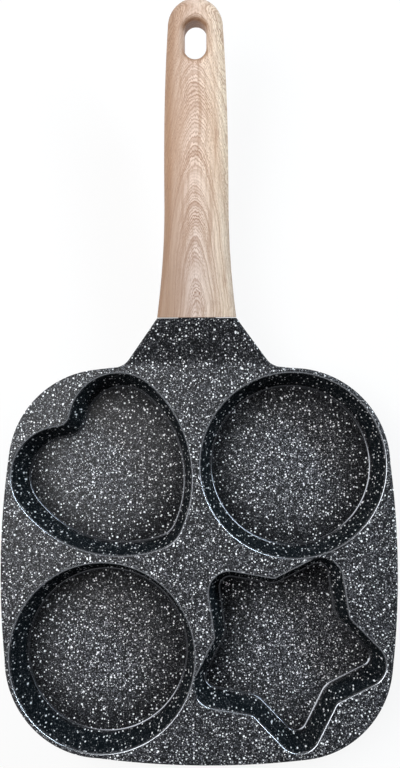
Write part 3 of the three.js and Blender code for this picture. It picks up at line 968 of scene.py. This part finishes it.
# %% [markdown]
# Cloths and spatulas polish the coating where it stands out, so the round rims and the corners at the floors shine
# like metal. Both are bands of height on the faces that look into a cup. The rest is matt under a clear coat, rough
# enough to spread the lamp into a wide sheen.


# %% Worn edges
def band(bottom, top, fade_in, fade_out):
    risen = stone.span(height, bottom, bottom + fade_in, 0.0, 1.0, "SMOOTHSTEP")
    kept_below = stone.span(height, top, top - fade_out, 0.0, 1.0, "SMOOTHSTEP")
    return stone.math("MULTIPLY", looks_in, stone.math("MULTIPLY", risen, kept_below))


rim = band(plate_top - rim_round, plate_top - 0.025 * MM, fade_in=0.3 * MM, fade_out=0.06 * MM)
floor_corner = band(cup_floor + 0.06 * MM, cup_floor + 0.5 * MM, fade_in=0.08 * MM, fade_out=0.1 * MM)
worn = stone.math("MAXIMUM", rim, floor_corner)
print("worn edges:", len(stone.tree.nodes), "nodes so far")

# %% [markdown]
# Between the flecks the lacquer is not even. Cells under half a millimetre, each with its own tone, give it a fine
# grain, which shows more where the painted glow is brighter. The steep walls are painted almost black as shade.

# %% Colour of the coating
black_lacquer = (0.004, 0.0043, 0.005, 1)
# The walls' teal tint is a painted sheen on the black lacquer.
painted_wall_sheen = (0.0045, 0.0075, 0.0095, 1)
grain_grey = (0.260, 0.263, 0.294, 1)
fleck_white = (0.96, 0.97, 0.99, 1)
corner_metal = (0.10, 0.105, 0.115, 1)
rim_metal = (0.36, 0.38, 0.41, 1)
grain_size = 0.4 * MM
grain_start = 0.2
grain_power = 4.0
mosaic = stone.add("ShaderNodeTexVoronoi", Vector=warped, Scale=1 / grain_size).outputs["Color"]
shade = stone.add("ShaderNodeSeparateColor", Color=mosaic).outputs[0]
grain = stone.math("POWER", stone.span(shade, grain_start, 1.0), grain_power)
# The walls take the teal painted sheen, the floors keep the black lacquer.
lacquer_with_wall_sheen = stone.mix(on_wall, black_lacquer, painted_wall_sheen)
lacquer = stone.mix(on_plate, lacquer_with_wall_sheen, black_lacquer)
# The grain shows more where the painted glow is brighter, less in the painted shade.
charcoal = stone.mix(stone.math("MULTIPLY", grain, painted_glow), lacquer, grain_grey)
sprayed = stone.mix(landed, charcoal, fleck_white)
polished = stone.mix(rim, corner_metal, rim_metal)
coating_colour = stone.mix(worn, sprayed, polished)
print("coating colour:", len(stone.tree.nodes), "nodes so far")

# %% Gloss of the coating
matt, shiny = 0.85, 0.2
wall_coat, floor_coat = 0.06, 0.4
peel_scale = 700
fleck_relief = 0.5
peel = stone.noise(peel_scale, 2.0, stone.place).outputs["Fac"]
relief = stone.math("ADD", peel, stone.math("MULTIPLY", landed, fleck_relief))
bump = stone.add("ShaderNodeBump", Height=relief, Strength=0.15, Distance=0.03 * MM)
stone.feed(
    stone.shader,
    Base_Color=coating_colour,
    Metallic=worn,
    Roughness=stone.span(worn, 0.0, 1.0, matt, shiny),
    Specular_IOR_Level=0.0,
    Coat_Weight=stone.span(painted_glow, wall_shade, bright_glow, wall_coat, floor_coat),
    Coat_Roughness=0.4,
    Coat_IOR=1.5,
    Normal=bump.outputs["Normal"],
)
print("stone coating:", len(stone.tree.nodes), "nodes")

# %% [markdown]
# ## The wood
# A plain-sawn grip shows nested arches on its upper face and straight lines on its sides. That is what growth rings
# look like where a board is cut slightly off the trunk's axis, so the rings are real here: distances from an axis
# that leans away under the handle. Noise bends the board a little first, because no tree grows straight.

# %% Growth rings
axis_lean = 0.125
axis_depth = 3 * MM
axis_turn = 0.35
wood = Finish("handle_wood")
in_handle = wood.add(
    "ShaderNodeMapping",
    {"vector_type": "TEXTURE"},
    Vector=wood.place,
    Location=handle_frame.translation,
    Rotation=(handle_tilt, 0, 0),
)
board = in_handle.outputs["Vector"]
swayed = wood.bend(board, 22, 2.0, 5 * MM, board)
bent = wood.bend(swayed, 230, 3.0, 0.8 * MM, board)
grown = wood.add("ShaderNodeSeparateXYZ", Vector=bent)
depth = wood.math("MULTIPLY_ADD", grown.outputs["Y"], axis_lean, axis_depth)
depth = wood.math("MULTIPLY_ADD", grown.outputs["Z"], axis_turn, depth)
from_axis = wood.add("ShaderNodeCombineXYZ", X=grown.outputs["X"], Y=depth).outputs[0]
ring_radius = wood.vector("LENGTH", from_axis).outputs["Value"]
print("growth rings:", len(wood.tree.nodes), "nodes")

# %% [markdown]
# Each ring is a bundle of fine lines. Pores are short dashes along the grain, so they come from a noise stretched
# that way, and the same noise frays the lines.


# %% Lines and pores
def along_grain(scale, stretch, detail):
    stretched = wood.add("ShaderNodeMapping", Vector=bent, Scale=(1, stretch, 1))
    return wood.noise(scale, detail, stretched.outputs["Vector"]).outputs["Fac"]


def across_rings(distance, scale, detail, roughness=0.5):
    line = wood.add("ShaderNodeCombineXYZ", X=distance).outputs[0]
    return wood.noise(scale, detail, line, roughness).outputs["Fac"]


ring_width = 1.1 * MM
line_width = 0.22 * MM
fray = 0.35 * MM
streaks = wood.span(along_grain(800, 0.02, 3.0), 0.45, 0.7)
dashes = along_grain(1900, 0.16, 2.0)
pores = wood.span(dashes, 0.56, 0.72)
frayed = wood.math("MULTIPLY_ADD", dashes, fray, ring_radius)
late = wood.math("POWER", wood.math("FRACT", wood.math("DIVIDE", ring_radius, ring_width)), 2.0)
zones = wood.span(across_rings(ring_radius, 300, 1.0), 0.45, 0.62)
bundles = wood.span(across_rings(ring_radius, 700, 2.0), 0.36, 0.62, 0.2, 1.0)
wave = wood.math("PINGPONG", frayed, line_width / 2)
lines = wood.math("MULTIPLY", wood.span(wave, 0.2 * line_width, 0.45 * line_width), bundles)
coarse_lines = wood.span(across_rings(frayed, 1700, 3.0, 0.7), 0.5, 0.66)
print("lines and pores:", len(wood.tree.nodes), "nodes so far")

# %% [markdown]
# The colour drifts from tan on one side to cream on the other, partly the wood's own drift and partly painted shade
# on the left and painted light on the right, and it is greyer towards the neck. In the hanging slot the end grain,
# which drinks more oil, is darker, and that darkening is also painted shade in the recess.

# %% Colour of the wood
# Tan on the left is partly painted shade, cream on the right partly painted light; the rest is the wood's own drift.
tan, rose, cream = (0.47, 0.295, 0.185, 1), (0.84, 0.66, 0.55, 1), (0.94, 0.77, 0.58, 1)
# The slot's darker tint is partly end grain and partly painted shade in the recess.
neck_tint, slot_shade_tint = (0.84, 0.87, 0.92, 1), (0.55, 0.42, 0.30, 1)
grip_side = 13 * MM
grey_start, grey_full = 75 * MM, 20 * MM
on_board = wood.add("ShaderNodeSeparateXYZ", Vector=board)
# The drift across the grip is partly painted shade on the left side and painted light on the right.
left_side_with_painted_shade = wood.mix(wood.span(on_board.outputs["X"], -grip_side, 0.0), tan, rose)
wood_colour = wood.mix(wood.span(on_board.outputs["X"], 0.0, grip_side), left_side_with_painted_shade, cream)
for pattern, strength, brown in (
    (streaks, 0.6, (0.42, 0.255, 0.16, 1)),
    (zones, 0.3, (0.48, 0.28, 0.165, 1)),
    (late, 0.4, (0.38, 0.225, 0.15, 1)),
    (coarse_lines, 0.7, (0.36, 0.19, 0.105, 1)),
    (lines, 0.95, (0.31, 0.16, 0.09, 1)),
    (pores, 0.35, (0.30, 0.18, 0.12, 1)),
):
    wood_colour = wood.mix(wood.math("MULTIPLY", pattern, strength), wood_colour, brown)
near_neck = wood.span(on_board.outputs["Y"], grey_start, grey_full)
wood_colour = wood.mix(near_neck, wood_colour, wood.mix(1.0, wood_colour, neck_tint, "MULTIPLY"))
print("wood colour:", len(wood.tree.nodes), "nodes so far")

# %% Painted shade and end grain in the slot
slot_middle = (slot_far + slot_near) / 2
slot_straight = (slot_far - slot_near) / 2
past_slot = wood.math("ABSOLUTE", wood.math("SUBTRACT", on_board.outputs["Y"], slot_middle))
past_slot = wood.math("MAXIMUM", wood.math("SUBTRACT", past_slot, slot_straight), 0.0)
from_slot = wood.add("ShaderNodeCombineXYZ", X=on_board.outputs["X"], Y=past_slot).outputs[0]
slot_reach = wood.vector("LENGTH", from_slot).outputs["Value"]
lip_start, lip_end = slot_width / 2 + 0.9 * slot_round, slot_width / 2
# Both ends of the slot are darkened: partly end grain that drinks more oil, partly painted shade in the recess.
slot_shade_and_end_grain = wood.span(slot_reach, lip_start, lip_end, kind="SMOOTHSTEP")
slot_shade_and_end_grain = wood.math("MULTIPLY", slot_shade_and_end_grain, wood.span(past_slot, 0.0, slot_round))
wood_with_slot_shade = wood.mix(slot_shade_and_end_grain, wood_colour, wood.mix(1.0, wood_colour, slot_shade_tint, "MULTIPLY"))

# %% Gloss of the wood
early_rough, late_rough = 0.5, 0.62
late_depth, pore_depth = -0.4, -1.0
grain_height = wood.math("MULTIPLY_ADD", pores, pore_depth, wood.math("MULTIPLY", late, late_depth))
grain_bump = wood.add("ShaderNodeBump", Height=grain_height, Strength=0.25, Distance=0.08 * MM)
wood.feed(
    wood.shader,
    Base_Color=wood_with_slot_shade,
    Roughness=wood.span(late, 0.0, 1.0, early_rough, late_rough),
    Normal=grain_bump.outputs["Normal"],
)
print("wood:", len(wood.tree.nodes), "nodes")

# %% [markdown]
# ## The steel
# The screws and washers are plain zinc-plated steel. Fine scratches and a slight mottle keep them from looking like
# mirrors.

# %% Steel
dull_zinc, bright_zinc = (0.50, 0.51, 0.53, 1), (0.68, 0.69, 0.70, 1)
steel = Finish("plated_steel")
mottle = steel.noise(900, 3.0, steel.place).outputs["Fac"]
scratch = steel.noise(5000, 1.0, steel.place).outputs["Fac"]
steel_bump = steel.add("ShaderNodeBump", Height=scratch, Strength=0.1, Distance=0.02 * MM)
steel.feed(
    steel.shader,
    Base_Color=steel.mix(mottle, dull_zinc, bright_zinc),
    Metallic=1.0,
    Roughness=steel.span(mottle, 0.3, 0.7, 0.26, 0.4),
    Normal=steel_bump.outputs["Normal"],
)
print("steel:", len(steel.tree.nodes), "nodes")

# %% [markdown]
# ## Dressing the pieces
# Each piece gets its finish, and the solids of the model that it stands for are hidden.

# %% Finishes on the pieces
finish_piece(pan, stone.material, "stone_coating", "pan_body")
finish_piece(grip, wood.material, "wood", "wood_handle")
for node, piece in fasteners.items():
    finish_piece(piece, steel.material, "steel", node)

# %% [markdown]
# ## The studio
# The pan lies on a white floor that curves up all round into a backdrop. The camera looks almost straight down,
# with the handle pointing up in the picture. A large soft lamp hangs on the left, a long narrow one on the far
# right, and the world fills in the rest.

# %% Camera
pan_middle = Vector((0, body_middle, plate_top))
camera_place = Vector((19.85, 47.28, 447.61)) * MM
camera_tilt = math.radians(4.769)
camera_lean = math.radians(2.380)
camera_data = bpy.data.cameras.new("photo_camera")
camera_data.lens = 43.486
camera_data.sensor_width = 36
camera_data.clip_start = 0.01
camera = bpy.data.objects.new("photo_camera", camera_data)
camera.location = pan_middle + camera_place
camera.rotation_euler = (camera_tilt, camera_lean, 0)
bpy.context.scene.collection.objects.link(camera)
bpy.context.scene.camera = camera
print("camera at", in_mm(camera.location), "mm")

# %% Floor
floor_drop = 0.2 * MM
floor_reach = 4.0
backdrop_round = 2.0
backdrop_height = 3.0
backdrop_foot = round_corner(floor_reach, backdrop_round - floor_drop, backdrop_round, -90, 0, steps=16)
backdrop_top = (floor_reach + backdrop_round, backdrop_height)
floor = turned("studio_floor", [(0, -floor_drop), *backdrop_foot, backdrop_top], False)
floor.data.shade_smooth()
print("floor is", floor_reach, "m to the foot of the backdrop")

# %% Paper on the floor
paper_grey = (0.9, 0.9, 0.9, 1)
lit_share = 0.88
paper = Finish("white_paper")
paper.feed(paper.shader, Base_Color=paper_grey, Roughness=0.9)
ray = paper.add("ShaderNodeLightPath")
seen = paper.math("MAXIMUM", ray.outputs["Is Camera Ray"], ray.outputs["Is Glossy Ray"])
seen = paper.math("MAXIMUM", seen, ray.outputs["Is Transmission Ray"])
white = paper.add("ShaderNodeEmission", Color=(1, 1, 1, 1), Strength=1.0)
shown = paper.add(
    "ShaderNodeMixShader",
    i0=paper.math("MULTIPLY", seen, lit_share),
    i1=paper.shader.outputs["BSDF"],
    i2=white.outputs["Emission"],
)
paper.feed(paper.output, Surface=shown.outputs["Shader"])
floor.data.materials.append(paper.material)
print("paper:", len(paper.tree.nodes), "nodes")


# %% Lamps and world
def soft_lamp(name, place, width, height, power, colour):
    lamp = bpy.data.lights.new(name, "AREA")
    lamp.shape = "RECTANGLE"
    lamp.size = width
    lamp.size_y = height
    lamp.energy = power
    lamp.color = colour
    stand = bpy.data.objects.new(name, lamp)
    stand.location = pan_middle + Vector(place)
    stand.rotation_euler = (-Vector(place)).to_track_quat("-Z", "Y").to_euler()
    bpy.context.scene.collection.objects.link(stand)
    print(name, power, "W")


white_light, cool_light = (1, 1, 1), (0.78, 0.91, 1.0)
soft_lamp("key_left", (-0.33, 0.16, 0.62), width=0.5, height=0.5, power=4.8, colour=white_light)
soft_lamp("strip_right", (0.55, 0.46, 0.45), width=0.8, height=0.06, power=5.4, colour=cool_light)
world_colour = (0.9, 0.93, 1.0, 1)
world_strength = 0.12
world = bpy.data.worlds.new("studio_world")
world.use_nodes = True
background = world.node_tree.nodes["Background"]
background.inputs["Color"].default_value = world_colour
background.inputs["Strength"].default_value = world_strength
bpy.context.scene.world = world
bpy.context.scene.view_settings.view_transform = "Standard"
